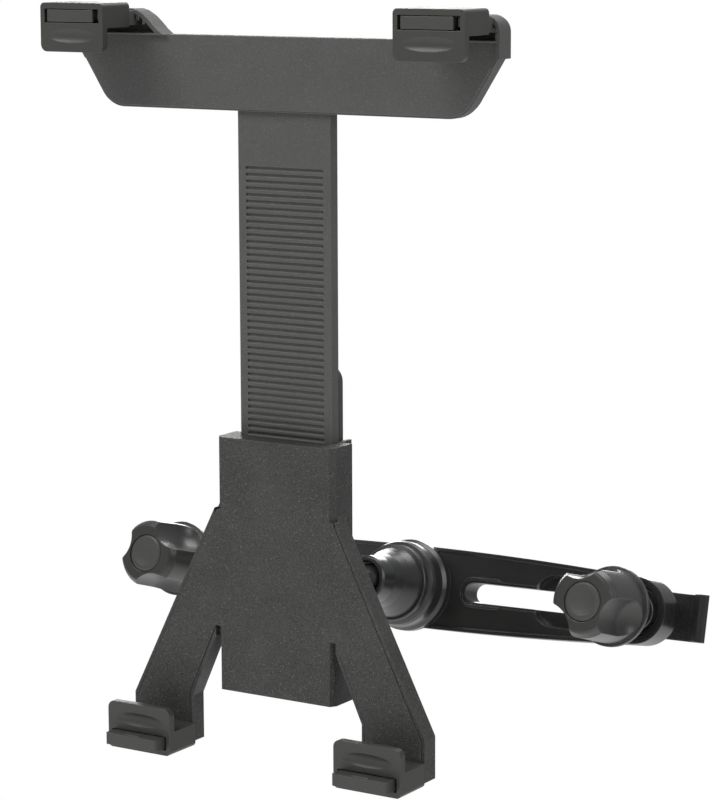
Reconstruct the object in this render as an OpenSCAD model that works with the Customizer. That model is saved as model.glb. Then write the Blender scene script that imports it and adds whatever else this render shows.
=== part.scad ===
// Headrest holder for a tablet: an extending four-clip cradle on a ball joint, carried by a bar
// that two spring-loaded clamps hold to the rods of a car headrest.
// Millimetres, +Z up along the rods, +Y back to the seat, origin at the middle of the bar's back
// face. Heights and depths in the variables are measured from the ball's centre.

/* [Node] */
// Sub-part to build

/* [Pose of the cradle] */
// Lean of the cradle's top towards the viewer, degrees
cradle_tilt = 16; // [0:0.5:24]
// Turn of the cradle about its stem, degrees
cradle_spin = 1.4; // [-10:0.1:10]

/* [Clip jaws] */
// Width of a clip jaw
jaw_w = 29; // [24:0.5:34]
// Height of a clip's front plate
jaw_h = 18.2; // [15:0.1:24]
// Thickness of a clip's front plate
jaw_face_t = 3; // [2:0.1:4]
// Distance from a clip's front face to the end of its sleeve
jaw_len = 16.7; // [14:0.1:24]
// Height of a clip's sleeve
sleeve_h = 9.2; // [8.4:0.1:12]
// Wall of the sleeve beside the tongue
sleeve_wall = 1.8; // [1.2:0.1:3]
// Wall of the sleeve over the tongue
sleeve_roof = 2.2; // [1.6:0.1:3]
// Depth of the thumb dimple
dimple_depth = 0.9; // [0.3:0.1:1.4]
// Distance of an upper clip from the middle plane
jaw_top_x = 77.5; // [74:0.5:82]
// Distance of a lower clip from the middle plane
jaw_bottom_x = 51.5; // [50:0.5:54]
// Height of the outer edge of the upper clips
top_z = 226.9; // [222:0.5:232]
// Height of the outer edge of the lower clips
bottom_z = -56.8; // [-60:0.1:-55.6]

/* [Tongues] */
// Width of a tongue
tongue_w = 23.6; // [18:0.1:24]
// Thickness of a tongue
tongue_t = 4.5; // [3:0.1:4.6]
// Length by which a lower tongue stands out of its clip
tongue_reach = 5.7; // [0:0.1:9]

/* [Lower body] */
// Front face of the body, measured forward from the ball
body_front = 68.8; // [67:0.1:71]
// Half width of the body's column at its front face
column_w = 24.5; // [23.5:0.1:27]
// Bevel along the column's front edges
column_bevel = 1.6; // [0.5:0.1:2.2]
// Height of the column's open top
column_top = 65.4; // [64:0.1:72]
// Height of the column's bottom end
column_bottom = -32.4; // [-36:0.1:-28]
// Height where the wings start
wing_top = 40; // [36:0.5:44]
// Half width over the legs
leg_out = 65.8; // [65:0.1:70]
// Half width between the legs
leg_in = 38.5; // [37:0.1:39]
// Bottom of the legs
leg_bottom = -55.2; // [-55.4:0.1:-52]
// Height of the tip of the notch beside the column
notch_top = -10.8; // [-18:0.1:-4]
// Depth of the wings
wing_d = 7.6; // [6.5:0.1:9]
// Width of the rim round the front cover
rim_w = 1.5; // [1:0.1:3]
// Thickness of the front cover
cover_t = 2.6; // [2:0.1:3]

/* [Slide and head] */
// Half width of the slide bar
bar_half = 20.4; // [18:0.1:21]
// Thickness of the slide bar
slide_t = 4.7; // [4:0.1:5]
// Lower end of the slide bar
slide_bottom = 10; // [0:0.5:20]
// Pitch of the grooves in the slide bar
groove_pitch = 2.5; // [2.2:0.1:4]
// Height of a groove
groove_h = 1.3; // [0.8:0.1:1.6]
// Bottom edge of the head plate
head_bottom = 187.4; // [184:0.1:190]
// Half width over the head
head_half = 93.6; // [93.4:0.1:98]
// Half width of the straight part of the head's bottom edge
head_flat = 71.4; // [66:0.1:73]

/* [Release lever] */
// Half width of the lever's tab
lever_half = 18.9; // [12:0.1:19]
// Height of the lever's top
lever_top = 93.4; // [80:0.1:110]
// Thickness of the lever
lever_t = 2.6; // [2:0.1:2.8]

/* [Ball joint] */
// Radius of the ball
ball_r = 6.5; // [5.5:0.1:6.6]
// Radius of the stem behind the ball
stem_r = 3.2; // [2.4:0.1:3.4]
// Radius of the lock nut's mouth end
nut_r = 9.1; // [9.1:0.1:10.5]
// Radius of the lock nut's flange
nut_flange_r = 15.4; // [14:0.1:16.4]
// Radius of the boss on the bar
boss_r = 17.2; // [17:0.1:19]

/* [Bracket bar] */
// Distance from the ball to the bar's front face
bar_face = 30; // [29:0.5:34]
// Half height of the bar at its middle
bar_h = 16.4; // [15.8:0.1:18]
// Distance of the clamps from the middle plane
clamp_x = 101; // [96:0.5:106]
// Thickness of the bar's front part
bar_t = 8; // [7:0.1:10]
// Thickness of the bar's back plate
back_t = 3.8; // [3:0.1:5]
// Half height of the slots through the bar
slot_r = 4; // [3.6:0.1:4.6]
// Distance of the slots' inner ends from the middle plane
slot_in = 28.5; // [26:0.5:34]
// Length of the pocket in which a clamp can be set inward
pocket_run = 35; // [20:0.5:42]

/* [Clamps] */
// Radius of the headrest rod
rod_r = 6; // [5:0.1:7]
// Distance from a clamp bolt to its rod
rod_x = 10.6; // [10:0.1:13]
// Height of a hook jaw
hook_h = 18.4; // [14:0.1:20]
// Radius of a knob's flange
knob_r = 15.4; // [14.8:0.1:17]
// Length of a knob
knob_len = 26; // [22:0.5:32]
// Gap between a knob's flange and the bar's face
knob_stand = 18; // [14:0.5:24]
// Radius of a knob's cap
cap_r = 7.4; // [6:0.1:7.6]
// Radius of a clamp bolt
bolt_r = 2.5; // [2:0.1:2.8]
// Turn of the right knob, degrees
knob_turn_right = 0; // [-60:1:60]
// Turn of the left knob, degrees
knob_turn_left = -35; // [-60:1:60]

/* [Fits] */
// Gap beside the latch of an upper tongue
latch_gap = 2; // [1:0.1:2.4]
// Gap round the slide bar and the tongues' sides
slide_gap = 0.3; // [0.2:0.05:0.5]
// Gap between a running shaft and its hole
run_gap = 0.05; // [0.03:0.01:0.1]
// Gap between the ball, its liner and the nut
ball_gap = 0.05; // [0.03:0.01:0.1]

/* [Hidden] */
$fn = 96;
e = 0.01;
front_y = -body_front;
jaw_back_y = front_y - 0.3;
jaw_y = jaw_back_y - jaw_len;
cover_back_y = front_y + cover_t;
wing_back_y = front_y + wing_d;
slide_y = front_y + 8.8;
slide_back_y = slide_y + slide_t;
column_x = column_w + column_bevel;
column_back_y = front_y + 13.8;
hump_x = 21;
hump_back_y = front_y + 21.4;
cavity_back_y = hump_back_y - 1.8;
lever_back_y = cavity_back_y - 0.8;
lever_front_y = lever_back_y - lever_t;
pivot_y = lever_back_y - 1.3;
pivot_z = column_top - 19.4;
turret_end_y = -32;
tongue_top_z = sleeve_roof + (sleeve_h - sleeve_roof - 1.8 - tongue_t) / 2;
window_h = sleeve_h - sleeve_roof - 1.8;
root_t = tongue_t - 1.3;
root_y = front_y + 10.3;
jaw_r = 1.8;
head_y = slide_y - 2.3;
head_mid_y = head_y + 5;
head_back_y = head_y + 10;
ear_y = front_y + 4.5;
head_top = top_z - 2.6;
plate_top = top_z - 11.9;
back_y = bar_face + bar_t;
rear_y = back_y + back_t;
end_r = bar_h - clamp_x * clamp_x / 3000;
pocket_r = 10.2;
knob_back = bar_face - knob_stand;
knob_face = knob_back - knob_len;
rod_y = rear_y + 0.1 + rod_r;
pad_t = 1;
groove_r = rod_r + 0.1;
grip_r = groove_r + pad_t;
guide_y = bar_face + 0.2;

// Front view outline drawn in X and Z, extruded from depth y0 back to depth y1
module slab(y0, y1) {
  translate([0, y1, 0])
    rotate([90, 0, 0])
      linear_extrude(y1 - y0)
        children();
}

// Round bar along Y from depth y0 back to depth y1
module round_y(r, y0, y1, x = 0, z = 0) {
  translate([x, y0, z])
    rotate([-90, 0, 0])
      cylinder(r = r, h = y1 - y0);
}

// Block between two corners
module block(a, b) {
  translate(a)
    cube([b[0] - a[0], b[1] - a[1], b[2] - a[2]]);
}

// Profile of radius over depth, turned about the Y axis
module turned(points) {
  rotate([-90, 0, 0])
    rotate_extrude()
      polygon(points);
}

// Moves the bracket's pieces so that the bar's back face lies at depth 0
module in_bracket() {
  translate([0, -rear_y, 0])
    children();
}

// Moves from the cradle's own frame, round the ball, into the frame of the bracket
module in_cradle() {
  in_bracket()
    rotate([cradle_tilt, 0, 0])
      rotate([0, cradle_spin, 0])
        children();
}

// The children and their mirror image
module both_sides() {
  children();
  mirror([1, 0, 0])
    children();
}

// Pan head screw along Y with its head at the back, tip at depth y0
module screw_y(x, z, y0, y1, r = 1.3) {
  difference() {
    union() {
      round_y(r, y0, y1 - 1.2 + e, x, z);
      round_y(2 * r, y1 - 1.2, y1, x, z);
    }
    for (a = [0, 90])
      translate([x, y1 - 0.3, z])
        rotate([0, a, 0])
          cube([2.4 * r, 1.2, 0.5], center = true);
  }
}

// Bracket bar: outline with arched edges and round ends, drawn in X and Z
module bar_outline(inset) {
  arch = 1500;
  intersection() {
    translate([0, bar_h - inset - arch])
      circle(r = arch, $fn = 720);
    translate([0, arch - bar_h + inset])
      circle(r = arch, $fn = 720);
    square([2 * clamp_x, 4 * bar_h], center = true);
  }
  for (s = [-1, 1])
    translate([s * clamp_x, 0])
      circle(r = end_r - inset);
}

// Slot with round ends from x0 to x1, drawn in X and Z
module slot_outline(x0, x1, r) {
  translate([x0, -r])
    square([x1 - x0, 2 * r]);
  for (x = [x0, x1])
    translate([x, 0])
      circle(r = r);
}

module bar_screw_places() {
  for (s = [-1, 1])
    for (z = [-1, 1])
      translate([s * 50, 0, z * 9.6])
        children();
}

module bracket_bar() {
  color([0.16, 0.16, 0.15])
  in_bracket()
  difference() {
    union() {
      slab(bar_face, back_y)
        bar_outline(0);
      turned([[0, bar_face + 1], [boss_r + 1.2, bar_face + 1], [boss_r + 1.2, bar_face - 2.6], [boss_r, bar_face - 4], [boss_r, 20.6], [boss_r - 0.6, 19.1], [boss_r - 2, 18], [0, 18]]);
      round_y(10.6, 12.2, 18.5);
    }
    // shallow field inside a raised rim
    difference() {
      slab(bar_face - 1, bar_face + 0.5)
        bar_outline(1.5);
      round_y(boss_r + 1.2, bar_face - 2, bar_face + 2);
      both_sides()
        slab(bar_face - 1, bar_face + 1)
          slot_outline(slot_in, slot_in + 10, slot_r + 2);
    }
    both_sides() {
      slab(bar_face - 1, back_y + 1)
        slot_outline(slot_in, clamp_x, slot_r);
      slab(bar_face - 1, bar_face + 1.6)
        slot_outline(slot_in, clamp_x, slot_r + 1);
      slab(bar_face - 1, bar_face + 5)
        slot_outline(clamp_x - pocket_run, clamp_x, pocket_r);
    }
    bar_screw_places()
      round_y(1.2, back_y - 5, back_y + 1);
    // seat of the liner and the hole that runs through to the back
    sphere(r = ball_r + 1.1 + 2 * ball_gap);
    turned([[0, 40], [4, 40], [4, 11.4], [7, 11.4], [7.4, 12.1], [0, 12.1]]);
    round_y(5.6, 8, 16.4);
  }
}

module bar_back_plate() {
  color([0.13, 0.13, 0.12])
  in_bracket()
  difference() {
    slab(back_y, rear_y)
      bar_outline(0);
    both_sides()
      slab(back_y - 1, rear_y + 1)
        slot_outline(slot_in, clamp_x, slot_r);
    bar_screw_places() {
      round_y(1.5, back_y - 1, rear_y + 1);
      round_y(2.8, rear_y - 1.2, rear_y + 1);
    }
    difference() {
      slab(rear_y - 0.8, rear_y + 1)
        bar_outline(2.4);
      both_sides()
        slab(rear_y - 2, rear_y + 2)
          slot_outline(slot_in, clamp_x, slot_r + 2.4);
      slab(rear_y - 2, rear_y + 2)
        slot_outline(-9, 9, 9);
      both_sides()
        slab(rear_y - 2, rear_y + 2)
          translate([clamp_x, 0])
            circle(r = end_r);
      bar_screw_places()
        round_y(3.6, rear_y - 2, rear_y + 2);
    }
  }
}

module bar_screws() {
  color([0.5, 0.5, 0.5])
  in_bracket()
    bar_screw_places()
      screw_y(0, 0, back_y - 4.5, rear_y, 1.2);
}

// Ball joint
module ball_nut() {
  color([0.2, 0.2, 0.19])
  in_bracket()
  difference() {
    turned([[0, -6], [nut_r - 0.8, -6], [nut_r, -5.2], [nut_r + 0.4, 2], [nut_r + 1.6, 7], [nut_r + 3.2, 11], [nut_flange_r - 1.6, 14.2], [nut_flange_r - 1.6, 15], [nut_flange_r - 0.4, 15.2], [nut_flange_r, 15.6], [nut_flange_r, 17.7], [0, 17.7]]);
    sphere(r = ball_r + 0.9 + 2 * ball_gap);
    round_y(ball_r + 0.9 + 2 * ball_gap, 0, 9);
    round_y(10.7, 8.6, 18);
    turned([[0, -7], [7.6, -7], [7.2, -6], [5.9, -3.4], [5.9, -1], [0, -1]]);
  }
}

module ball_liner() {
  color([0.75, 0.74, 0.7])
  in_bracket()
  difference() {
    rotate([-90, 0, 0])
      rotate_extrude()
        intersection() {
          difference() {
            circle(r = ball_r + 0.9 + ball_gap);
            circle(r = ball_r + ball_gap);
          }
          translate([0, -2.4])
            square([20, 8]);
        }
    for (a = [0, 60, 120])
      rotate([0, a, 0])
        block([-0.4, 2.4, -20], [0.4, 20, 20]);
  }
}

module ball_stem() {
  color([0.3, 0.3, 0.3])
  in_cradle()
    union() {
      sphere(r = ball_r);
      turned([[0, turret_end_y - 3.6], [13, turret_end_y - 3.6], [13, turret_end_y - 0.1], [9.4, turret_end_y - 0.1], [9.4, -26], [8.6, -24.6], [4.6, -16], [stem_r, -12], [stem_r, 0], [0, 0]]);
    }
}

// Lower body: half outline of a wing with its leg, grown inward by the inset
module wing_outline(inset) {
  k = (leg_out - column_x) / (wing_top + 39);
  polygon([
    [0, wing_top - 0.9 * inset], [column_x, wing_top - 1.7 * inset],
    [leg_out - inset, -39 + 0.4 * inset - inset], [leg_out - inset, leg_bottom + inset],
    [leg_in + inset, leg_bottom + inset], [leg_in + inset, -37 - 0.4 * inset + inset],
    [column_x + 0.6 + 0.3 * inset, notch_top + inset * 2.1], [0, notch_top + inset * 2.1]]);
}

// Central column outline, drawn in X and Y, swept upward
module column(z0, z1, side) {
  translate([0, 0, z0])
    linear_extrude(z1 - z0)
      polygon([
        [-side, front_y], [side, front_y], [side + column_bevel, front_y + 1.5 * column_bevel], [side + column_bevel, column_back_y],
        [-side - column_bevel, column_back_y], [-side - column_bevel, front_y + 1.5 * column_bevel]]);
}

module shell_screw_places() {
  for (s = [-1, 1]) {
    translate([s * 52, 0, -30])
      children();
    translate([s * 33, 0, 18])
      children();
  }
}

module cover_parts() {
  both_sides()
    slab(front_y, cover_back_y)
      wing_outline(rim_w);
  intersection() {
    column(column_bottom, column_top, column_w);
    slab(front_y - 1, cover_back_y)
      translate([-40, column_bottom])
        square([80, column_top - column_bottom]);
  }
}

module front_cover() {
  color([0.3, 0.3, 0.29])
  in_cradle()
    difference() {
      union() {
        cover_parts();
        // blind bosses for the screws
        shell_screw_places()
          round_y(3, cover_back_y - e, wing_back_y - 2.6);
      }
      shell_screw_places()
        round_y(1.2, front_y + 1.2, wing_back_y);
      both_sides()
        block([jaw_bottom_x - tongue_w / 2, front_y - 1, bottom_z + tongue_top_z], [jaw_bottom_x + tongue_w / 2, wing_back_y, bottom_z + tongue_top_z + tongue_t]);
    }
}

module rear_shell() {
  color([0.27, 0.27, 0.26])
  in_cradle()
    difference() {
      union() {
        both_sides()
          slab(front_y + 0.2, wing_back_y)
            wing_outline(0);
        column(column_bottom, column_top, column_w);
        block([-hump_x, column_back_y - 1, column_bottom], [hump_x, hump_back_y, column_top]);
        // round turret with a stepped foot
        turned([[0, hump_back_y - 1], [20, hump_back_y - 1], [20, hump_back_y + 1.6], [18.4, hump_back_y + 3.2], [17, turret_end_y - 4], [17, turret_end_y], [0, turret_end_y]]);
        // pod for the lever's spring
        round_y(5.4, column_back_y, hump_back_y + 3.8, 0, pivot_z + 6);
      }
      // room for the front cover
      both_sides()
        slab(front_y - 1, cover_back_y + 0.02)
          wing_outline(rim_w - 0.2);
      block([-column_x - 1, front_y - 1, column_bottom - 1], [column_x + 1, cover_back_y + 0.02, column_top + 1]);
      // hollow backs of the wings and the bosses of the cover
      both_sides()
        slab(cover_back_y - 0.5, wing_back_y - 2.2)
          difference() {
            wing_outline(rim_w + 1.4);
            translate([0, -60])
              square([column_x + 0.6, 120]);
            translate([jaw_bottom_x - tongue_w / 2 - 2, -60])
              square([tongue_w + 4, bottom_z + 72]);
          }
      shell_screw_places() {
        round_y(3.2, cover_back_y - 1, wing_back_y - 2.5);
        round_y(1.5, wing_back_y - 3, wing_back_y + 1);
        round_y(2.8, wing_back_y - 1.2, wing_back_y + 1);
      }
      // channel of the slide bar
      block([-bar_half - slide_gap, slide_y - slide_gap, column_bottom - 1], [bar_half + slide_gap, slide_back_y + slide_gap, column_top + 1]);
      // cavity of the release lever, open at the top
      block([-lever_half - 0.4, slide_back_y - 1, pivot_z - 18], [lever_half + 0.4, cavity_back_y, column_top + 1]);
      block([-lever_half - 0.4, slide_back_y, pivot_z + 4], [lever_half + 0.4, cavity_back_y + 0.6, column_top + 1]);
      difference() {
        block([-lever_half - 0.4, cavity_back_y - 1, pivot_z + 4], [lever_half + 0.4, hump_back_y + 1, column_top + 1]);
        round_y(5.4, cavity_back_y + 0.6, hump_back_y + 3.8, 0, pivot_z + 6);
      }
      round_y(2.6, column_back_y, hump_back_y + 2, 0, pivot_z + 6);
      translate([-hump_x + 0.9, pivot_y, pivot_z])
        rotate([0, 90, 0])
          cylinder(r = 1.2 + run_gap, h = 2 * hump_x - 1.8);
      // feet of the lower tongues
      both_sides()
        tongue_seat(jaw_bottom_x, bottom_z + tongue_top_z, tongue_t, front_y + 5);
      // seat of the stem's flange and holes of the ring's screws
      round_y(13 + run_gap, turret_end_y - 3.7, turret_end_y + 1);
      round_y(11, hump_back_y + 1, turret_end_y - 3);
      for (a = [0, 120, 240])
        rotate([0, a, 0])
          round_y(0.9, turret_end_y - 6, turret_end_y + 1, 0, 15);
    }
}

module shell_screws() {
  color([0.55, 0.55, 0.55])
  in_cradle()
    shell_screw_places()
      screw_y(0, 0, front_y + 1.6, wing_back_y, 1.2);
}

module swivel_ring() {
  color([0.2, 0.2, 0.2])
  in_cradle()
    difference() {
      turned([[9.4 + run_gap, turret_end_y], [17, turret_end_y], [17, turret_end_y + 2], [16, turret_end_y + 3], [9.4 + run_gap, turret_end_y + 3]]);
      for (a = [0, 120, 240])
        rotate([0, a, 0]) {
          round_y(1.1, turret_end_y - 1, turret_end_y + 4, 0, 15);
          round_y(1.9, turret_end_y + 1.8, turret_end_y + 4, 0, 15);
        }
    }
}

module swivel_screws() {
  color([0.55, 0.55, 0.55])
  in_cradle()
    for (a = [0, 120, 240])
      rotate([0, a, 0])
        screw_y(0, 15, turret_end_y - 5, turret_end_y + 3, 0.9);
}

// Release lever with its pin and spring
module lever_pin() {
  color([0.6, 0.6, 0.6])
  in_cradle()
    translate([-hump_x + 1, pivot_y, pivot_z])
      rotate([0, 90, 0])
        cylinder(r = 1.2, h = 2 * hump_x - 2);
}

module release_lever() {
  color([0.2, 0.2, 0.19])
  in_cradle()
    difference() {
      union() {
        slab(lever_front_y, lever_back_y) {
          translate([-lever_half, pivot_z - 4])
            square([2 * lever_half, lever_top - pivot_z - 2]);
          translate([-lever_half + 6, pivot_z])
            square([2 * lever_half - 12, lever_top - pivot_z]);
          for (s = [-1, 1])
            translate([s * (lever_half - 6), lever_top - 6])
              circle(r = 6);
        }
        translate([-lever_half, pivot_y, pivot_z])
          rotate([0, 90, 0])
            cylinder(r = 1.8, h = 2 * lever_half);
        // brake nose
        block([-12, slide_back_y + 0.06, pivot_z + 5], [12, lever_front_y + e, pivot_z + 8]);
        // finger ribs
        for (z = [lever_top - 16 : 3 : lever_top - 7])
          block([-12, lever_back_y - e, z], [12, lever_back_y + 0.7, z + 1.1]);
      }
      translate([-lever_half - 1, pivot_y, pivot_z])
        rotate([0, 90, 0])
          cylinder(r = 1.2 + run_gap, h = 2 * lever_half + 2);
    }
}

module lever_spring() {
  color([0.7, 0.7, 0.7])
  in_cradle()
    coil(0, pivot_z + 6, lever_back_y + 0.02, hump_back_y + 1.98, 1.9, 0.3, 4);
}

// Spring of stacked rings with short links, along Y
module coil(x, z, y0, y1, r, wire, turns) {
  pitch = (y1 - y0 - 2 * wire) / turns;
  for (k = [0 : turns])
    translate([x, y0 + wire + k * pitch, z])
      rotate([-90, 0, 0])
        rotate_extrude($fn = 40)
          translate([r, 0])
            circle(r = wire, $fn = 16);
  for (k = [0 : turns - 1])
    round_y(0.8 * wire, y0 + wire + k * pitch, y0 + wire + (k + 1) * pitch, x + (k % 2 == 0 ? r : -r), z);
}

// Tongues: root in the body or the head, shaft forward through the clip
module tongue(x, edge, down, reach) {
  z0 = down > 0 ? edge - tongue_top_z - tongue_t : edge + tongue_top_z;
  difference() {
    union() {
      block([x - tongue_w / 2, jaw_y - reach + 1, z0], [x + tongue_w / 2, front_y, z0 + tongue_t]);
      if (down > 0)
        block([x - tongue_w / 2, front_y - e, z0], [x + tongue_w / 2, root_y, z0 + root_t]);
      else
        block([x - tongue_w / 2, front_y - e, z0], [x + tongue_w / 2, front_y + 5, z0 + tongue_t]);
      block([x - tongue_w / 2 + 1, jaw_y - reach, z0], [x + tongue_w / 2 - 1, jaw_y - reach + 2, z0 + tongue_t]);
      for (s = [-1, 1])
        translate([x + s * (tongue_w / 2 - 1), jaw_y - reach + 1, z0])
          cylinder(r = 1, h = tongue_t);
      if (reach > 2)
        block([x - 3.4, jaw_y - reach + 1.2, z0 + tongue_t - e], [x + 3.4, jaw_y - 0.8, z0 + tongue_t + 0.25]);
    }
    // hole for the fixing barb
    round_z(1, z0 - 1, z0 + tongue_t + 1, x, front_y + 3.8);
    // cut beside the latch of an upper tongue
    if (down > 0) {
      block([x + tongue_w / 2 - latch_gap, jaw_y - 1, z0 - 1], [x + tongue_w / 2 + 1, front_y - 4, z0 + 0.9]);
      block([x + tongue_w / 2 - latch_gap, jaw_y - 1, z0 + 0.8], [x + tongue_w / 2 + 1, jaw_y + 1.6, z0 + tongue_t + 1]);
      block([x + tongue_w / 2 - latch_gap, jaw_y - 1, z0 - 1], [x + tongue_w / 2 - 0.8, front_y - 4, z0 + tongue_t + 1]);
    }
  }
}

module round_z(r, z0, z1, x, y) {
  translate([x, y, z0])
    cylinder(r = r, h = z1 - z0);
}

// Seat of a tongue's root from height z0, with the barb that holds it left standing
module tongue_seat(x, z0, t, back) {
  difference() {
    block([x - tongue_w / 2, front_y - 1, z0], [x + tongue_w / 2, back, z0 + t]);
    round_z(1, z0 - 1, z0 + t + 1, x, front_y + 3.8);
  }
}

module tongue_bottom_right() {
  color([0.25, 0.25, 0.24])
  in_cradle()
    tongue(jaw_bottom_x, bottom_z, -1, tongue_reach);
}

module tongue_bottom_left() {
  color([0.25, 0.25, 0.24])
  in_cradle()
    tongue(-jaw_bottom_x, bottom_z, -1, tongue_reach);
}

module tongue_top_right() {
  color([0.25, 0.25, 0.24])
  in_cradle()
    tongue(jaw_top_x, top_z, 1, 0);
}

module tongue_top_left() {
  color([0.25, 0.25, 0.24])
  in_cradle()
    tongue(-jaw_top_x, top_z, 1, 0);
}

// Clip jaws: drawn with the outer edge at height 0 and the lip hanging down
module jaw_shape() {
  face_back = jaw_y + jaw_face_t;
  difference() {
    union() {
      slab(jaw_y, face_back) {
        translate([-jaw_w / 2, -jaw_h + 2.8])
          square([jaw_w, jaw_h - 2.8 - jaw_r]);
        translate([-jaw_w / 2 + 2.8, -jaw_h])
          square([jaw_w - 5.6, jaw_h - 1]);
        translate([-jaw_w / 2 + jaw_r, -3])
          square([jaw_w - 2 * jaw_r, 3]);
        for (s = [-1, 1]) {
          translate([s * (jaw_w / 2 - 2.8), -jaw_h + 2.8])
            circle(r = 2.8);
          translate([s * (jaw_w / 2 - jaw_r), -jaw_r])
            circle(r = jaw_r);
        }
      }
      slab(face_back - 1, jaw_back_y) {
        translate([-jaw_w / 2, -sleeve_h])
          square([jaw_w, sleeve_h - jaw_r]);
        translate([-jaw_w / 2 + jaw_r, -2])
          square([jaw_w - 2 * jaw_r, 2]);
        for (s = [-1, 1])
          translate([s * (jaw_w / 2 - jaw_r), -jaw_r])
            circle(r = jaw_r);
      }
    }
    // tunnel for the tongue
    block([-jaw_w / 2 + sleeve_wall, jaw_y - 1, -sleeve_roof - window_h], [jaw_w / 2 - sleeve_wall, jaw_back_y + 1, -sleeve_roof]);
    // thumb dimple, cut by a wide ring
    translate([0, jaw_y - 67 + dimple_depth, -0.67 * jaw_h])
      rotate_extrude($fn = 180)
        translate([62.8, 0])
          circle(r = 4.2, $fn = 48);
    // two finger grooves behind the lip
    for (z = [-jaw_h + 3, -jaw_h + 5.4])
      block([-jaw_w / 2 + 3, face_back - 0.5, z], [jaw_w / 2 - 3, face_back + 0.4, z + 1]);
  }
}

module jaw_top_right() {
  color([0.36, 0.36, 0.34])
  in_cradle()
    translate([jaw_top_x, 0, top_z])
      jaw_shape();
}

module jaw_top_left() {
  color([0.36, 0.36, 0.34])
  in_cradle()
    translate([-jaw_top_x, 0, top_z])
      jaw_shape();
}

module jaw_bottom_right() {
  color([0.36, 0.36, 0.34])
  in_cradle()
    translate([jaw_bottom_x, 0, bottom_z])
      mirror([0, 0, 1])
        jaw_shape();
}

module jaw_bottom_left() {
  color([0.36, 0.36, 0.34])
  in_cradle()
    translate([-jaw_bottom_x, 0, bottom_z])
      mirror([0, 0, 1])
        jaw_shape();
}

// Slide bar and head
module slide_bar() {
  color([0.33, 0.33, 0.31])
  in_cradle()
    difference() {
      union() {
        block([-bar_half, slide_y, slide_bottom + 2], [bar_half, slide_back_y, plate_top - 4]);
        block([-bar_half + 2, slide_y, slide_bottom], [bar_half - 2, slide_back_y, plate_top - 4]);
        for (s = [-1, 1])
          round_y(2, slide_y, slide_back_y, s * (bar_half - 2), slide_bottom + 2);
      }
      for (z = [head_bottom - 21 : -groove_pitch : slide_bottom + 5])
        slab(slide_y - 1, slide_y + 0.7)
          translate([0, z])
            slot_outline(-16.6, 16.6, groove_h / 2);
      // long relief along the back
      slab(slide_back_y - 1.2, slide_back_y + 1) {
        translate([-15.4, slide_bottom + 8])
          square([2.4, 140]);
        translate([13, slide_bottom + 8])
          square([2.4, 140]);
      }
      for (s = [-1, 1])
        round_y(1.2, slide_y + 1.4, slide_back_y + 1, s * 12, plate_top - 12);
    }
}

// Outline of an ear: round outer corner, S-shaped inner flank
module ear_outline(inset) {
  translate([head_half - 6, head_top - 6])
    circle(r = 6 - inset);
  translate([head_half - 10, plate_top - 6])
    square([10 - inset, head_top - plate_top]);
  translate([66, plate_top - 6])
    square([head_half - 72, head_top - plate_top + 6 - inset]);
  polygon([
    [50 + 0.55 * inset, plate_top - 6], [68, plate_top - 6], [68, head_top - inset],
    [65 + 0.55 * inset, head_top - inset], [62.4 + 0.55 * inset, head_top - 0.7 - inset],
    [60 + 0.55 * inset, head_top - 2.1 - inset], [57.6 + 0.55 * inset, head_top - 4.1 - inset], [54.6 + 0.55 * inset, head_top - 7 - inset],
    [52.6 + 0.55 * inset, head_top - 8.5 - inset], [50 + 0.55 * inset, plate_top - 0.6 - inset]]);
}

// Half outline of the head plate with a round lower corner
module plate_outline(inset) {
  r = 12 - inset;
  translate([head_flat, head_bottom + 12])
    circle(r = r);
  polygon([
    [0, head_bottom + inset], [head_flat, head_bottom + inset], [head_flat + 0.831 * r, head_bottom + 12 - 0.556 * r],
    [head_half - inset, 0.67 * inset + head_bottom + 24.2], [head_half - inset, plate_top + 2], [head_flat, plate_top - inset], [0, plate_top - inset]]);
}

module head_screw_places() {
  for (s = [-1, 1]) {
    translate([s * 34, 0, head_bottom + 10])
      children();
    translate([s * 62, 0, head_bottom + 19])
      children();
  }
}

module head_boss_places() {
  translate([34, head_bottom + 10])
    children();
  translate([62, head_bottom + 19])
    children();
}

// Ribs and shelf inside an ear
module ear_ribs() {
  block([jaw_top_x - 15, ear_y + 0.4, plate_top + 5], [jaw_top_x - 13.8, head_mid_y - 1, head_top - 1]);
  block([jaw_top_x - 17.8, ear_y + 0.4, plate_top + 3.6], [jaw_top_x - 16.6, head_mid_y - 1, head_top - 2.6]);
  block([head_half - 3.2, ear_y + 0.4, plate_top + 3.3], [head_half - 0.5, head_mid_y - 1, plate_top + 4.8]);
  block([head_half - 2.2, ear_y + 0.4, plate_top], [head_half - 0.5, head_mid_y - 1, plate_top + 2.8]);
  block([head_half - 3, ear_y + 0.4, plate_top + 6], [head_half - 1.7, head_mid_y - 1, head_top - 2]);
}

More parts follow.
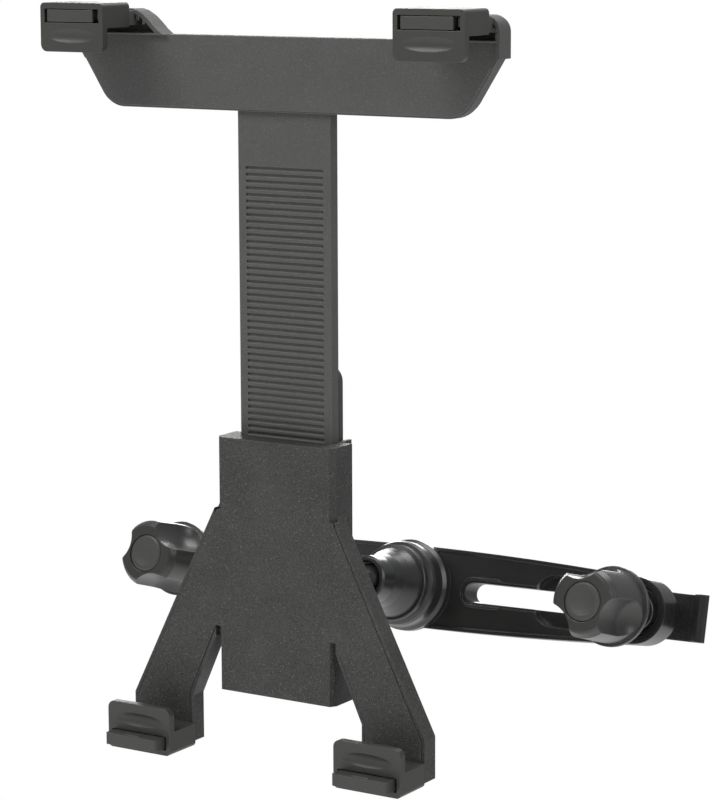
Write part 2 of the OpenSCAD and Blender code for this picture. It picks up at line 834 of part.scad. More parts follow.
module head_front() {
  color([0.34, 0.34, 0.33])
  in_cradle()
    difference() {
      union() {
        difference() {
          union() {
            both_sides() {
              slab(head_y, head_mid_y)
                plate_outline(0);
              slab(ear_y, head_mid_y)
                ear_outline(0);
            }
          }
          both_sides() {
            // open front of the ears
            slab(ear_y - 1, head_mid_y - 1.6)
              intersection() {
                ear_outline(1.5);
                translate([49, plate_top + 0.4])
                  square([60, 20]);
              }
            // below its roots an ear stands forward at its outer wall only
            block([40, ear_y - 1, plate_top - 8], [head_half - 1.5, head_y, plate_top - 0.2]);
          }
        }
        // cores that hold the roots of the tongues, reaching forward to the sleeves
        both_sides() {
          block([jaw_top_x - 13, front_y, plate_top + 3.3], [jaw_top_x + 13, head_mid_y - 1, head_top - 0.7]);
          ear_ribs();
        }
      }
      // bevel step round the face
      both_sides()
        slab(head_y - 1, head_y + 0.5)
          difference() {
            translate([0, head_bottom - 2])
              square([100, 20]);
            plate_outline(0.7);
          }
      // hollow back
      both_sides()
        slab(head_y + 2.2, head_mid_y + 1)
          difference() {
            plate_outline(2.4);
            translate([0, head_bottom])
              square([bar_half + 3, 40]);
            translate([0, plate_top - 2.4])
              square([100, 40]);
            head_boss_places()
              circle(r = 3);
          }
      // seat of the slide bar
      block([-bar_half, slide_y, head_bottom - 1], [bar_half, head_mid_y + 1, plate_top - 4]);
      for (s = [-1, 1])
        tongue_seat(s * jaw_top_x, top_z - tongue_top_z - tongue_t, root_t, root_y);
      head_screw_places()
        round_y(1.2, head_y + 1.2, head_mid_y + 1);
    }
}

module head_back() {
  color([0.22, 0.22, 0.21])
  in_cradle()
    difference() {
      union() {
        both_sides()
          slab(head_mid_y, head_mid_y + 1.8) {
            plate_outline(0.6);
            ear_outline(0.6);
          }
        slab(head_mid_y + 1, head_back_y - 1.2)
          translate([-bar_half - 2.4, head_bottom + 0.6])
            square([2 * bar_half + 4.8, plate_top - head_bottom - 1.8]);
      }
      block([-bar_half, head_mid_y - 1, head_bottom - 1], [bar_half, slide_back_y, plate_top - 4]);
      head_screw_places() {
        round_y(1.5, head_mid_y - 1, head_back_y);
        round_y(2.8, head_mid_y + 0.6, head_back_y);
      }
      for (s = [-1, 1])
        round_y(1.5, head_mid_y, head_back_y + 1, s * 12, plate_top - 12);
    }
}

module head_screws() {
  color([0.55, 0.55, 0.55])
  in_cradle() {
    head_screw_places()
      screw_y(0, 0, head_y + 1.6, head_mid_y + 1.8, 1.2);
    for (s = [-1, 1])
      screw_y(s * 12, plate_top - 12, slide_y + 1.8, head_back_y, 1.2);
  }
}

// Clamps: drawn for the right side, round an axis at X 0
module knob_shape(turn) {
  rotate([0, turn, 0])
    difference() {
      union() {
        difference() {
          turned([[0, knob_face], [11.3, knob_face], [12.1, knob_face + 0.5], [13.6, knob_face + 2.8], [14.2, knob_back - 2], [14.2, knob_back], [0, knob_back]]);
          // three scoops that run out before the flange
          for (a = [-10, 110, 230])
            rotate([0, a, 0]) {
              translate([0, knob_back - 12, 19.5])
                rotate([90, 0, 0])
                  cylinder(r = 10.9, h = 40);
              translate([0, knob_back - 12, 19.5])
                sphere(r = 10.9);
            }
        }
        turned([[0, knob_back - 2], [knob_r - 0.3, knob_back - 2], [knob_r, knob_back - 1.7], [knob_r, knob_back - 0.3], [knob_r - 0.3, knob_back], [0, knob_back]]);
      }
      // seat of the cap
      round_y(cap_r + 0.3, knob_face - 1, knob_face + 0.8);
      round_y(cap_r - 1, knob_face, knob_face + 2.6);
      // bore of the insert
      round_y(5, knob_face + 8, knob_back + 1);
    }
}

module cap_shape() {
  difference() {
    turned([[0, knob_face - 0.2], [cap_r - 0.8, knob_face - 0.2], [cap_r, knob_face + 0.3], [cap_r, knob_face + 0.8], [cap_r - 1, knob_face + 0.8], [cap_r - 1, knob_face + 2.6], [0, knob_face + 2.6]]);
    // shallow dish
    translate([0, knob_face - 29.7, 0])
      sphere(r = 30);
  }
}

module insert_shape() {
  difference() {
    union() {
      turned([[0, knob_face + 8], [5, knob_face + 8], [5, knob_back], [0, knob_back]]);
    }
    round_y(bolt_r + run_gap, knob_face + 9, knob_back + 1);
    turned([[0, knob_back - 0.6], [bolt_r + run_gap, knob_back - 0.6], [bolt_r + 0.8, knob_back + e], [bolt_r + 0.8, knob_back + 1], [0, knob_back + 1]]);
  }
}

module washer_shape() {
  difference() {
    turned([[0, bar_face + 5], [pocket_r - 0.5, bar_face + 5], [pocket_r - 0.5, bar_face + 2.2], [pocket_r - 1.1, bar_face + 1.8], [pocket_r - 1.7, bar_face + 2.2], [pocket_r - 1.7, bar_face + 3.6], [0, bar_face + 3.6]]);
    // hole in the shape of the jaw's guide
    slab(bar_face + 1, bar_face + 6)
      slot_outline(-2, 0, slot_r);
  }
}

module bolt_shape() {
  union() {
    round_y(bolt_r, knob_back - 9, rod_y + 4.8);
    for (y = [knob_back + 3 : 1.6 : bar_face - 2])
      turned([[0, y], [bolt_r, y], [bolt_r + 0.3, y + 0.4], [bolt_r, y + 0.8], [0, y + 0.8]]);
    block([-4, rod_y + 4.7, -4], [4, rod_y + 7.2, 4]);
  }
}

// Plan of a hook jaw in X and Y: base plate, groove for the rod, outer lip that stops behind the bar
module hook_plan() {
  lip_y = rear_y + 0.4;
  difference() {
    union() {
      translate([-14, rod_y + 1.6])
        square([14 + rod_x, grip_r + 3.6 - 1.6]);
      translate([rod_x, rod_y])
        circle(r = grip_r + 3.6);
      polygon([
        [rod_x + 6.3, rod_y], [rod_x + 6.3, rod_y - 1.5], [rod_x + 10.5, lip_y],
        [rod_x + 13.4, lip_y], [rod_x + 14, lip_y + 1.3], [rod_x + 10.3, rod_y + 2.6]]);
    }
    translate([rod_x, rod_y])
      circle(r = grip_r);
    polygon([
      [-20, rod_y], [-20, lip_y - 10], [rod_x + 20, lip_y - 10],
      [rod_x + 20, lip_y], [rod_x + 10.5, lip_y], [rod_x + 6.3, rod_y - 1.5], [rod_x + 6.3, rod_y]]);
    translate([-20, rod_y - 20])
      square([16.5, 20 + grip_r - 2]);
  }
}

module hook_shape() {
  difference() {
    union() {
      translate([0, 0, -hook_h / 2])
        linear_extrude(hook_h)
          hook_plan();
      // guide that keeps the jaw from turning in the slot
      slab(guide_y, rod_y + 3)
        slot_outline(-2, 0, slot_r - 0.15);
      block([-8, rear_y + 0.6, -hook_h / 2], [-3.5, rod_y + 3, hook_h / 2]);
    }
    round_y(bolt_r, guide_y - 1, rod_y + 4.8);
    block([-4, rod_y + 4.7, -4], [4, rod_y + 20, 4]);
    // shallow relief on the back
    block([-12, rod_y + grip_r + 2.8, -hook_h / 2 + 2], [-6.5, rod_y + 20, hook_h / 2 - 2]);
  }
}

module pad_shape() {
  translate([0, 0, -hook_h / 2 + 0.4])
    linear_extrude(hook_h - 0.8)
      difference() {
        translate([rod_x, rod_y])
          circle(r = grip_r);
        translate([rod_x, rod_y])
          circle(r = groove_r);
        translate([rod_x - 10, rod_y - 20])
          square([20, 20]);
        translate([rod_x - 10, rod_y - 1])
          square([10, 3]);
      }
}

module at_right() {
  translate([clamp_x, -rear_y, 0])
    children();
}

module at_left() {
  translate([-clamp_x, -rear_y, 0])
    mirror([1, 0, 0])
      children();
}

module knob_right() {
  color([0.22, 0.22, 0.2])
  at_right()
    knob_shape(knob_turn_right);
}

module knob_left() {
  color([0.22, 0.22, 0.2])
  at_left()
    knob_shape(knob_turn_left);
}

module knob_cap_right() {
  color([0.28, 0.28, 0.26])
  at_right()
    cap_shape();
}

module knob_cap_left() {
  color([0.28, 0.28, 0.26])
  at_left()
    cap_shape();
}

module knob_insert_right() {
  color([0.7, 0.6, 0.35])
  at_right()
    insert_shape();
}

module knob_insert_left() {
  color([0.7, 0.6, 0.35])
  at_left()
    insert_shape();
}

module clamp_bolt_right() {
  color([0.6, 0.6, 0.6])
  at_right()
    bolt_shape();
}

module clamp_bolt_left() {
  color([0.6, 0.6, 0.6])
  at_left()
    bolt_shape();
}

module clamp_spring_right() {
  color([0.5, 0.5, 0.5])
  in_bracket()
    coil(clamp_x, 0, knob_back + 0.1, bar_face + 3.5, 7.2, 0.7, 5);
}

module clamp_spring_left() {
  color([0.5, 0.5, 0.5])
  in_bracket()
    coil(-clamp_x, 0, knob_back + 0.1, bar_face + 3.5, 7.2, 0.7, 5);
}

module clamp_washer_right() {
  color([0.4, 0.4, 0.4])
  at_right()
    washer_shape();
}

module clamp_washer_left() {
  color([0.4, 0.4, 0.4])
  at_left()
    washer_shape();
}

module hook_jaw_right() {
  color([0.1, 0.1, 0.1])
  at_right()
    hook_shape();
}

module hook_jaw_left() {
  color([0.1, 0.1, 0.1])
  at_left()
    hook_shape();
}

module hook_pad_right() {
  color([0.15, 0.15, 0.15])
  at_right()
    pad_shape();
}

module hook_pad_left() {
  color([0.15, 0.15, 0.15])
  at_left()
    pad_shape();
}

bracket_bar();
bar_back_plate();
bar_screws();
ball_nut();
ball_liner();
ball_stem();
rear_shell();
front_cover();
shell_screws();
swivel_ring();
swivel_screws();
lever_pin();
release_lever();
lever_spring();
tongue_bottom_left();
tongue_bottom_right();
slide_bar();
head_front();
head_back();
head_screws();
tongue_top_left();
tongue_top_right();
jaw_top_left();
jaw_top_right();
jaw_bottom_left();
jaw_bottom_right();
knob_left();
knob_right();
knob_cap_left();
knob_cap_right();
knob_insert_left();
knob_insert_right();
clamp_bolt_left();
clamp_bolt_right();
clamp_spring_left();
clamp_spring_right();
clamp_washer_left();
clamp_washer_right();
hook_jaw_left();
hook_jaw_right();
hook_pad_left();
hook_pad_right();
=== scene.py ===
import math

import bmesh
import bpy
from mathutils import Matrix, Vector


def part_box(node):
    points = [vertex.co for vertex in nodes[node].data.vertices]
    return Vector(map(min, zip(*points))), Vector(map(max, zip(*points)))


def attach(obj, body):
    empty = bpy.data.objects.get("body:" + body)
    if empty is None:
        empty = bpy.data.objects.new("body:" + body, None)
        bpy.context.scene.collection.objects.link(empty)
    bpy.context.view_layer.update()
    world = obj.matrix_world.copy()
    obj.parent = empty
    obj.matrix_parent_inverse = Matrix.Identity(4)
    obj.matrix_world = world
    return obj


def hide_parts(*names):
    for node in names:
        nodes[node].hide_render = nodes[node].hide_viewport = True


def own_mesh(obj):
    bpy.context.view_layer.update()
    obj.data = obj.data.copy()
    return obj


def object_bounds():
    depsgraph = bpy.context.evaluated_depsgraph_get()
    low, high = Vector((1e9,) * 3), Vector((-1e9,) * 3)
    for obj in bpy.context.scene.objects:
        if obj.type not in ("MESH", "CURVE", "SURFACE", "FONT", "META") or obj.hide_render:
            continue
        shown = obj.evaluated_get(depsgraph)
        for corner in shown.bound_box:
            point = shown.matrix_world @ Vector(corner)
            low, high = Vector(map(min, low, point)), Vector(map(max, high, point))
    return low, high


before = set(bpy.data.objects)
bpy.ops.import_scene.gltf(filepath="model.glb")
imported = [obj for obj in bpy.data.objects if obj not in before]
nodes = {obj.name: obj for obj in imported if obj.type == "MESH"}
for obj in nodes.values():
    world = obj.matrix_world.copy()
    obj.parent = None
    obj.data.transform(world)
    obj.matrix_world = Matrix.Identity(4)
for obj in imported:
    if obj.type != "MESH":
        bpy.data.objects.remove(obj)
cadLow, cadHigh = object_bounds()
print("frame loaded", len(nodes), "nodes")

mm = 0.001


class Flow:  # an output socket that takes part in plain arithmetic
    def __init__(self, paint, socket):
        self.paint, self.socket = paint, socket

    def mathed(self, operation, first, second):
        return self.paint.add("ShaderNodeMath", {"operation": operation}, {0: first, 1: second})

    def __add__(self, other):
        return self.mathed("ADD", self, other)

    def __radd__(self, other):
        return self.mathed("ADD", other, self)

    def __sub__(self, other):
        return self.mathed("SUBTRACT", self, other)

    def __rsub__(self, other):
        return self.mathed("SUBTRACT", other, self)

    def __mul__(self, other):
        return self.mathed("MULTIPLY", self, other)

    def __rmul__(self, other):
        return self.mathed("MULTIPLY", other, self)

    def held(self, low, high):
        lifted = self.mathed("MAXIMUM", self, low)
        return self.mathed("MINIMUM", lifted, high)


class Paint:  # one material and its nodes
    def __init__(self, name, **constants):
        self.material = bpy.data.materials.new(name)
        self.material.use_nodes = True
        self.tree = self.material.node_tree
        self.tree.nodes.clear()
        self.shader = self.tree.nodes.new("ShaderNodeBsdfPrincipled")
        end = self.tree.nodes.new("ShaderNodeOutputMaterial")
        self.tree.links.new(self.shader.outputs[0], end.inputs[0])
        for socket, value in constants.items():
            self.shader.inputs[socket.replace("_", " ")].default_value = value
        self.place = self.add("ShaderNodeTexCoord", out="Object")

    def add(self, kind, settings=None, inputs=None, out=0):
        node = self.tree.nodes.new(kind)
        for key, value in (settings or {}).items():
            setattr(node, key, value)
        for key, value in (inputs or {}).items():
            if isinstance(value, Flow):
                self.tree.links.new(value.socket, node.inputs[key])
            else:
                node.inputs[key].default_value = value
        return Flow(self, node.outputs[out])

    def noise(self, size, detail=3.0, stretch=None):
        where = self.place
        if stretch:
            where = self.add("ShaderNodeMapping", inputs={"Vector": where, "Scale": stretch})
        return self.add("ShaderNodeTexNoise", inputs={"Vector": where, "Scale": 1 / size, "Detail": detail})

    def cells(self, size, out="Distance"):
        return self.add("ShaderNodeTexVoronoi", inputs={"Vector": self.place, "Scale": 1 / size}, out=out)

    def mixed(self, share, first, second):
        return self.add("ShaderNodeMix", {"data_type": "RGBA"}, {0: share, 6: first, 7: second}, out=2)

    def rounded(self, radius):  # normal as if the edges had a small radius
        return self.add("ShaderNodeBevel", {"samples": 6}, {"Radius": radius})

    def edges(self, soft, gain=6):  # 0 on the flats, 1 on the edges
        flat = self.add("ShaderNodeNewGeometry", out="Normal")
        facing = self.add("ShaderNodeVectorMath", {"operation": "DOT_PRODUCT"}, {0: soft, 1: flat}, out=1)
        return ((1 - facing) * gain).held(0, 1)

    def bumped(self, height, strength, depth, normal):
        relief = {"Strength": strength, "Distance": depth, "Height": height, "Normal": normal}
        return self.add("ShaderNodeBump", inputs=relief)

    def set(self, socket, value):
        self.tree.links.new(value.socket, self.shader.inputs[socket])


def shade(colour, factor):
    return tuple(min(1, channel * factor) for channel in colour) + (1,)


def mouldedPlastic(name, look):
    paint = Paint(name, Specular_IOR_Level=look["sheen"], Coat_Weight=look["coat"],
                  Coat_Roughness=look["coatRoughness"])
    soft = paint.rounded(look["edgeRadius"])
    wornAndHighlitEdges = paint.edges(soft)
    cloud = paint.noise(look["cloud"], 4)
    grain = paint.noise(look["grain"], 2)
    pits = paint.cells(look["grain"] * look["pitSize"])
    # painted glints: a few grain cells get a much lighter base colour
    glint = paint.cells(look["grain"] * look["glintSize"], "Color")
    chosen = paint.add("ShaderNodeSeparateColor", inputs={0: glint}, out=0) - (1 - look["glintShare"])
    paintedGlints = (chosen * (1 / look["glintShare"])).held(0, 1) * look["glintStrength"]
    contrast, clouding = look["contrast"], look["clouding"]
    tone = (grain * contrast + cloud * clouding - (contrast + clouding - 1) / 2).held(0, 1)
    dark, light = 1 - look["mottle"], 1 + look["mottle"]
    body = paint.mixed(tone, shade(look["colour"], dark), shade(look["colour"], light))
    body = paint.mixed(paintedGlints, body, shade(look["colour"], look["glintShade"]))
    # painted edge highlight on partly real wear: the edges get a lighter base colour
    body = paint.mixed(wornAndHighlitEdges * look["wearAndHighlight"], body, shade(look["colour"], look["wornAndHighlitShade"]))
    paint.set("Base Color", body)
    dulling = look["dulling"]
    dull = cloud * dulling + look["roughness"] - dulling / 2 - wornAndHighlitEdges * look["wornGloss"]
    paint.set("Roughness", dull.held(0.05, 1))
    height = grain * (1 - look["pitting"]) + pits * look["pitting"]
    paint.set("Normal", paint.bumped(height, look["bump"], look["grain"], soft))
    return paint.material


# pitSize and glintSize count in grains; the shades of the painted glints and of the edges (painted edge
# highlight on partly real wear) multiply the colour
bodyLook = {
    "colour": (0.033, 0.033, 0.0305), "roughness": 0.56, "sheen": 0.42, "coat": 0.0, "coatRoughness": 0.28,
    "grain": 0.0004, "cloud": 0.018, "contrast": 2.4, "clouding": 0.6, "mottle": 0.75, "dulling": 0.12,
    "bump": 0.6, "pitSize": 1.6, "pitting": 0.4, "glintSize": 0.9, "glintShare": 0.06, "glintStrength": 1.0,
    "glintShade": 3.2, "wearAndHighlight": 0.8, "wornAndHighlitShade": 2.1, "wornGloss": 0.08, "edgeRadius": 0.0005,
}
headLook = {**bodyLook, "colour": (0.062, 0.062, 0.059), "grain": 0.0003, "bump": 0.4, "glintStrength": 0.35,
            "mottle": 0.26}
clipLook = {**bodyLook, "colour": (0.037, 0.036, 0.032), "grain": 0.00022, "bump": 0.25, "roughness": 0.4,
            "glintStrength": 0.15, "mottle": 0.22, "wearAndHighlight": 0.6, "edgeRadius": 0.00045}
tongueLook = {**clipLook, "colour": (0.042, 0.041, 0.037), "roughness": 0.5}
linerLook = {**clipLook, "colour": (0.62, 0.6, 0.54), "roughness": 0.45}
bracketLook = {**bodyLook, "colour": (0.016, 0.016, 0.015), "grain": 0.0003, "bump": 0.16, "roughness": 0.3,
               "glintStrength": 0.1, "mottle": 0.25, "wearAndHighlight": 0.5, "edgeRadius": 0.0006, "coat": 0.3}
knobLook = {**bracketLook, "colour": (0.0275, 0.0272, 0.025), "bump": 0.22, "roughness": 0.33, "coat": 0.2}
capLook = {**knobLook, "colour": (0.042, 0.042, 0.039), "roughness": 0.46, "edgeRadius": 0.0003}
hookLook = {**bracketLook, "colour": (0.014, 0.014, 0.014), "roughness": 0.42, "coat": 0.0}
stemLook = {**bracketLook, "colour": (0.03, 0.03, 0.029), "roughness": 0.42, "coat": 0.0}
padLook = {**bodyLook, "colour": (0.02, 0.02, 0.02), "bump": 0.4, "roughness": 0.8, "sheen": 0.3,
           "glintStrength": 0.0, "wearAndHighlight": 0.1}


def turnedMetal(name, look):
    paint = Paint(name, Metallic=1.0)
    soft = paint.rounded(look["edgeRadius"])
    streaks = paint.noise(look["streak"], 3, look["stretch"])
    cloud = paint.noise(look["cloud"], 3)
    tone = (cloud * (1 - look["streaking"]) + streaks * look["streaking"]).held(0, 1)
    dark, light = shade(look["colour"], look["dark"]), shade(look["colour"], look["light"])
    paint.set("Base Color", paint.mixed(tone, dark, light))
    dull = streaks * look["streakDulling"] + cloud * look["cloudDulling"] + look["roughness"]
    paint.set("Roughness", (dull - look["cloudDulling"]).held(0.05, 1))
    paint.set("Normal", paint.bumped(streaks, look["bump"], look["depth"], soft))
    return paint.material


# streaks run round the Y axis of the turned pieces
steelLook = {
    "colour": (0.6, 0.6, 0.6), "roughness": 0.32, "dark": 0.72, "light": 1.15, "cloud": 0.004,
    "streak": 0.0012, "stretch": (1, 14, 1), "streaking": 0.3, "streakDulling": 0.2, "cloudDulling": 0.12,
    "bump": 0.12, "depth": 0.0001, "edgeRadius": 0.0002,
}
darkSteelLook = {**steelLook, "colour": (0.1, 0.1, 0.1), "roughness": 0.36}
brassLook = {**steelLook, "colour": (0.74, 0.56, 0.26), "roughness": 0.3}

finish = {
    "bodyShell": mouldedPlastic("sparkGrainBody", bodyLook),
    "headShell": mouldedPlastic("fineGrainHead", headLook),
    "clip": mouldedPlastic("satinClip", clipLook),
    "tongue": mouldedPlastic("darkTongue", tongueLook),
    "bracket": mouldedPlastic("semiGlossBracket", bracketLook),
    "knob": mouldedPlastic("satinKnob", knobLook),
    "cap": mouldedPlastic("knobCap", capLook),
    "hook": mouldedPlastic("blackHook", hookLook),
    "pad": mouldedPlastic("rubberPad", padLook),
    "stem": mouldedPlastic("paintedStem", stemLook),
    "liner": mouldedPlastic("slipperyLiner", linerLook),
    "steel": turnedMetal("zincSteel", steelLook),
    "spring": turnedMetal("oiledSpringSteel", darkSteelLook),
    "brass": turnedMetal("turnedBrass", brassLook),
}

nodeFinish = {
    "bracket_bar": "bracket", "bar_back_plate": "bracket", "bar_screws": "steel", "ball_nut": "bracket",
    "ball_liner": "liner", "ball_stem": "stem", "rear_shell": "bodyShell", "front_cover": "bodyShell",
    "shell_screws": "steel", "swivel_ring": "bracket", "swivel_screws": "steel", "lever_pin": "steel",
    "release_lever": "clip", "lever_spring": "steel", "slide_bar": "headShell", "head_front": "headShell",
    "head_back": "headShell", "head_screws": "steel",
}
for side in ("left", "right"):
    nodeFinish.update({
        "tongue_bottom_" + side: "tongue", "tongue_top_" + side: "tongue",
        "jaw_top_" + side: "clip", "jaw_bottom_" + side: "clip",
        "knob_" + side: "knob", "knob_cap_" + side: "cap", "knob_insert_" + side: "brass",
        "clamp_bolt_" + side: "steel", "clamp_spring_" + side: "spring", "clamp_washer_" + side: "bracket",
        "hook_jaw_" + side: "hook", "hook_pad_" + side: "pad",
    })
for name, node in nodes.items():
    node.data.materials.clear()
    node.data.materials.append(finish[nodeFinish[name]])
print("finishes made", len(finish))


def centreOf(node):
    low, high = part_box(node)
    return (Vector(low) + Vector(high)) / 2


def finished(name, mesh, paint, body, replaced):
    bmesh.ops.recalc_face_normals(mesh, faces=mesh.faces)
    for face in mesh.faces:
        face.smooth = True
    data = bpy.data.meshes.new(name)
    mesh.to_mesh(data)
    mesh.free()
    data.materials.append(finish[paint])
    piece = bpy.data.objects.new(name, data)
    bpy.context.scene.collection.objects.link(piece)
    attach(piece, body)
    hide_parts(replaced)
    return piece


def lathe(mesh, profile, steps):  # profile of (radius, depth) turned about the Y axis
    start = [mesh.verts.new((radius, depth, 0)) for radius, depth in profile]
    edges = [mesh.edges.new(pair) for pair in zip(start, start[1:])]
    bmesh.ops.spin(mesh, geom=start + edges, cent=(0, 0, 0), axis=(0, 1, 0), angle=math.tau, steps=steps,
                   use_merge=True)
    bmesh.ops.remove_doubles(mesh, verts=mesh.verts, dist=0.01 * mm)


def helix(mesh, ring, radius, rise, turns, stepsPerTurn):  # ring of vertices wound about the Y axis
    bmesh.ops.translate(mesh, verts=ring, vec=(radius, 0, 0))
    steps = int(turns * stepsPerTurn)
    bmesh.ops.spin(mesh, geom=ring + list(mesh.edges), cent=(0, 0, 0), axis=(0, 1, 0),
                   dvec=(0, rise / steps, 0), angle=math.tau * turns, steps=steps)
    openEdges = [edge for edge in mesh.edges if edge.is_boundary]
    bmesh.ops.holes_fill(mesh, edges=openEdges, sides=len(ring))


springSize = {"wire": 0.7 * mm, "wireSides": 14, "radius": 7.2 * mm, "turns": 5.5, "stepsPerTurn": 44,
              "kept": 0.6}


def clampSpring(side):
    wire = springSize["wire"]
    low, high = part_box("clamp_spring_" + side)
    middle = centreOf("clamp_spring_" + side)
    mesh = bmesh.new()
    ring = bmesh.ops.create_circle(mesh, segments=springSize["wireSides"], radius=wire)["verts"]
    rise = high[1] - low[1] - 2 * wire
    helix(mesh, ring, springSize["radius"], rise, springSize["turns"], springSize["stepsPerTurn"])
    bmesh.ops.translate(mesh, verts=mesh.verts, vec=(middle.x, low[1] + wire, middle.z))
    carrier, replaced = "carriage_" + side, "clamp_spring_" + side
    piece = finished("clampSpring_" + side, mesh, "spring", carrier, replaced)
    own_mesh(piece)


boltSize = {
    "shaft": 2.5 * mm, "sides": 48, "ridge": 0.28 * mm, "ridgeSides": 6, "sunk": 0.02 * mm,
    "pitch": 1.25 * mm, "stepsPerTurn": 28, "threadFront": 3.6 * mm, "threadBack": 26.5 * mm,
    "headSide": 8 * mm, "headDepth": 2.5 * mm, "intoHead": 0.1 * mm, "bevel": 0.35 * mm,
}


def threadedBolt(side):
    low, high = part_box("clamp_bolt_" + side)
    middle = centreOf("clamp_bolt_" + side)
    length = high[1] - low[1]
    shaft, bevel, headDepth = boltSize["shaft"], boltSize["bevel"], boltSize["headDepth"]
    mesh = bmesh.new()
    run = boltSize["threadBack"] - boltSize["threadFront"]
    ring = bmesh.ops.create_circle(mesh, segments=boltSize["ridgeSides"], radius=boltSize["ridge"])["verts"]
    helix(mesh, ring, shaft - boltSize["sunk"], run, run / boltSize["pitch"], boltSize["stepsPerTurn"])
    bmesh.ops.translate(mesh, verts=mesh.verts, vec=(0, boltSize["threadFront"], 0))
    shaftEnd = length - headDepth + boltSize["intoHead"]
    profile = [(0, 0), (shaft - bevel, 0), (shaft, bevel), (shaft, shaftEnd), (0, shaftEnd)]
    lathe(mesh, profile, boltSize["sides"])
    head = bmesh.ops.create_cube(mesh, size=1)["verts"]
    bmesh.ops.scale(mesh, verts=head, vec=(boltSize["headSide"], headDepth, boltSize["headSide"]))
    bmesh.ops.translate(mesh, verts=head, vec=(0, length - headDepth / 2, 0))
    rim = list({edge for vert in head for edge in vert.link_edges})
    bmesh.ops.bevel(mesh, geom=rim, offset=bevel, offset_type="OFFSET", affect="EDGES", segments=2,
                    profile=0.5, material=-1)
    bmesh.ops.translate(mesh, verts=mesh.verts, vec=(middle.x, low[1], middle.z))
    finished("threadedBolt_" + side, mesh, "steel", "hook_" + side, "clamp_bolt_" + side)


leverSpringSize = {
    "wire": 0.3 * mm, "wireSides": 12, "radius": 1.9 * mm, "length": 4.54 * mm, "turns": 4.5,
    "stepsPerTurn": 36, "lean": math.radians(16), "kept": 0.8,
}


def leverSpring():
    middle = centreOf("lever_spring")
    lean, wire, length = leverSpringSize["lean"], leverSpringSize["wire"], leverSpringSize["length"]
    mesh = bmesh.new()
    ring = bmesh.ops.create_circle(mesh, segments=leverSpringSize["wireSides"], radius=wire)["verts"]
    turns, stepsPerTurn = leverSpringSize["turns"], leverSpringSize["stepsPerTurn"]
    helix(mesh, ring, leverSpringSize["radius"], length - 2 * wire, turns, stepsPerTurn)
    bmesh.ops.translate(mesh, verts=mesh.verts, vec=(0, wire - length / 2, 0))
    bmesh.ops.rotate(mesh, verts=mesh.verts, cent=(0, 0, 0), matrix=Matrix.Rotation(lean, 3, "X"))
    bmesh.ops.translate(mesh, verts=mesh.verts, vec=middle)
    piece = finished("leverSpring", mesh, "steel", "cradle", "lever_spring")
    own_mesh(piece)


leverSpring()
for side in ("left", "right"):
    clampSpring(side)
    threadedBolt(side)
print("springs wound, bolts threaded")

cameraPlace = {"spot": (0.601112, -1.018936, -0.026118), "right": (0.844011, 0.521707, 0.12437),
               "up": (-0.061311, -0.136517, 0.988739), "back": (0.53281, -0.842131, -0.083235),
               "lens": 130.48, "sensor": 36, "near": 0.05, "far": 20}


def placeCamera():
    eye = bpy.data.objects.new("camera", bpy.data.cameras.new("camera"))
    bpy.context.scene.collection.objects.link(eye)
    turn = Matrix((cameraPlace["right"], cameraPlace["up"], cameraPlace["back"])).transposed()
    eye.matrix_world = Matrix.Translation(cameraPlace["spot"]) @ turn.to_4x4()
    eye.data.lens = cameraPlace["lens"]
    eye.data.sensor_width = cameraPlace["sensor"]
    eye.data.clip_start, eye.data.clip_end = cameraPlace["near"], cameraPlace["far"]
    bpy.context.scene.camera = eye


lamps = {
    "keyPanel": {"spot": (-0.5, -1.3, 1.0), "size": (0.9, 0.7), "power": 17},
    "sidePanel": {"spot": (1.3, -0.6, 0.6), "size": (0.5, 0.9), "power": 6},
    "topPanel": {"spot": (0.1, 0.1, 1.3), "size": (1.0, 0.8), "power": 12},
    "rearPanel": {"spot": (-0.7, 1.1, 0.6), "size": (0.7, 0.7), "power": 10},
}
lampAim = Vector((0, -0.05, 0.02))


def hangLamp(name, place):
    lamp = bpy.data.objects.new(name, bpy.data.lights.new(name, "AREA"))
    lamp.data.shape = "RECTANGLE"
    lamp.data.size, lamp.data.size_y = place["size"]
    lamp.data.energy = place["power"]
    lamp.location = place["spot"]
    lamp.rotation_mode = "QUATERNION"
    lamp.rotation_quaternion = (lampAim - lamp.location).to_track_quat("-Z", "Y")
    bpy.context.scene.collection.objects.link(lamp)


airLook = {"seen": (1, 1, 1, 1), "seenStrength": 1.0, "light": (0.95, 0.97, 1, 1), "lightStrength": 0.36}


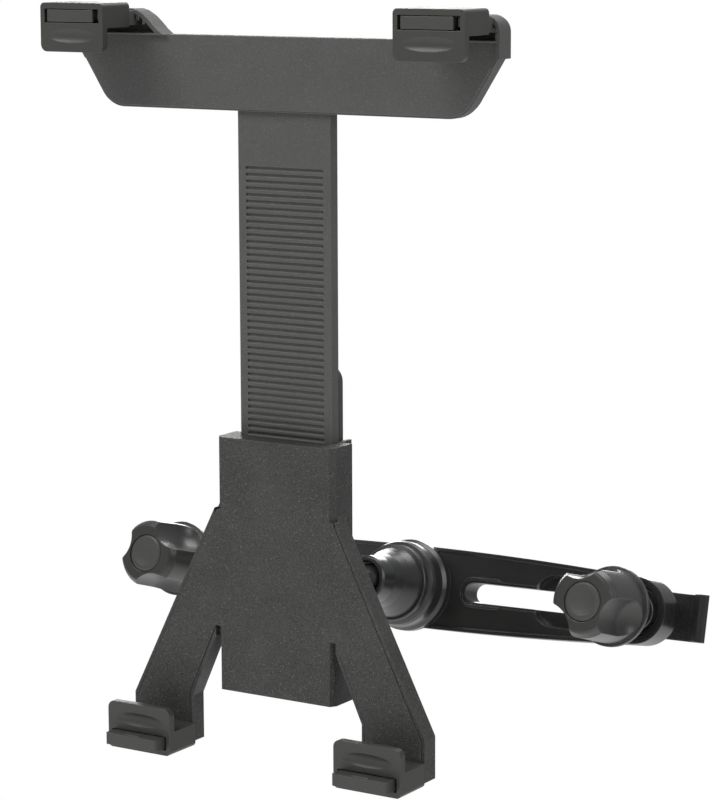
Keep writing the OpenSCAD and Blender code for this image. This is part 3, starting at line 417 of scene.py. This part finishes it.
def fillAir():  # white to the camera, a soft dim light to the object
    world = bpy.data.worlds.new("studio")
    bpy.context.scene.world = world
    world.use_nodes = True
    air = world.node_tree
    air.nodes.clear()
    path = air.nodes.new("ShaderNodeLightPath")
    seen = air.nodes.new("ShaderNodeBackground")
    light = air.nodes.new("ShaderNodeBackground")
    choice = air.nodes.new("ShaderNodeMixShader")
    end = air.nodes.new("ShaderNodeOutputWorld")
    for source, kind in ((seen, "seen"), (light, "light")):
        source.inputs[0].default_value = airLook[kind]
        source.inputs[1].default_value = airLook[kind + "Strength"]
    air.links.new(path.outputs["Is Camera Ray"], choice.inputs[0])
    air.links.new(light.outputs[0], choice.inputs[1])
    air.links.new(seen.outputs[0], choice.inputs[2])
    air.links.new(choice.outputs[0], end.inputs[0])


floorSize = {"radius": 8, "sides": 96, "below": 0.62, "fadeFrom": 2.0, "fadeOver": 4.0}
floorLook = {"colour": (0.9, 0.9, 0.9, 1), "roughness": 0.9, "glow": (0.3, 0.3, 0.3, 1),
             "rim": (1, 1, 1, 1)}


def layFloor():
    mesh = bmesh.new()
    bmesh.ops.create_circle(mesh, cap_ends=True, segments=floorSize["sides"], radius=floorSize["radius"])
    bmesh.ops.translate(mesh, verts=mesh.verts, vec=(0, 0, cadLow[2] - floorSize["below"]))
    data = bpy.data.meshes.new("floor")
    mesh.to_mesh(data)
    mesh.free()
    floor = bpy.data.objects.new("floor", data)
    bpy.context.scene.collection.objects.link(floor)
    paint = Paint("paleFloor", Base_Color=floorLook["colour"], Roughness=floorLook["roughness"],
                  Emission_Strength=1.0)
    reach = paint.add("ShaderNodeVectorMath", {"operation": "LENGTH"}, {0: paint.place}, out=1)
    seen = paint.add("ShaderNodeLightPath", out="Is Camera Ray")
    fade = ((reach - floorSize["fadeFrom"]) * (1 / floorSize["fadeOver"])).held(0, 1) * seen
    paint.set("Emission Color", paint.mixed(fade, floorLook["glow"], floorLook["rim"]))
    data.materials.append(paint.material)


placeCamera()
for name, place in lamps.items():
    hangLamp(name, place)
fillAir()
bpy.context.scene.view_settings.view_transform = "Standard"
layFloor()
print("stage set")
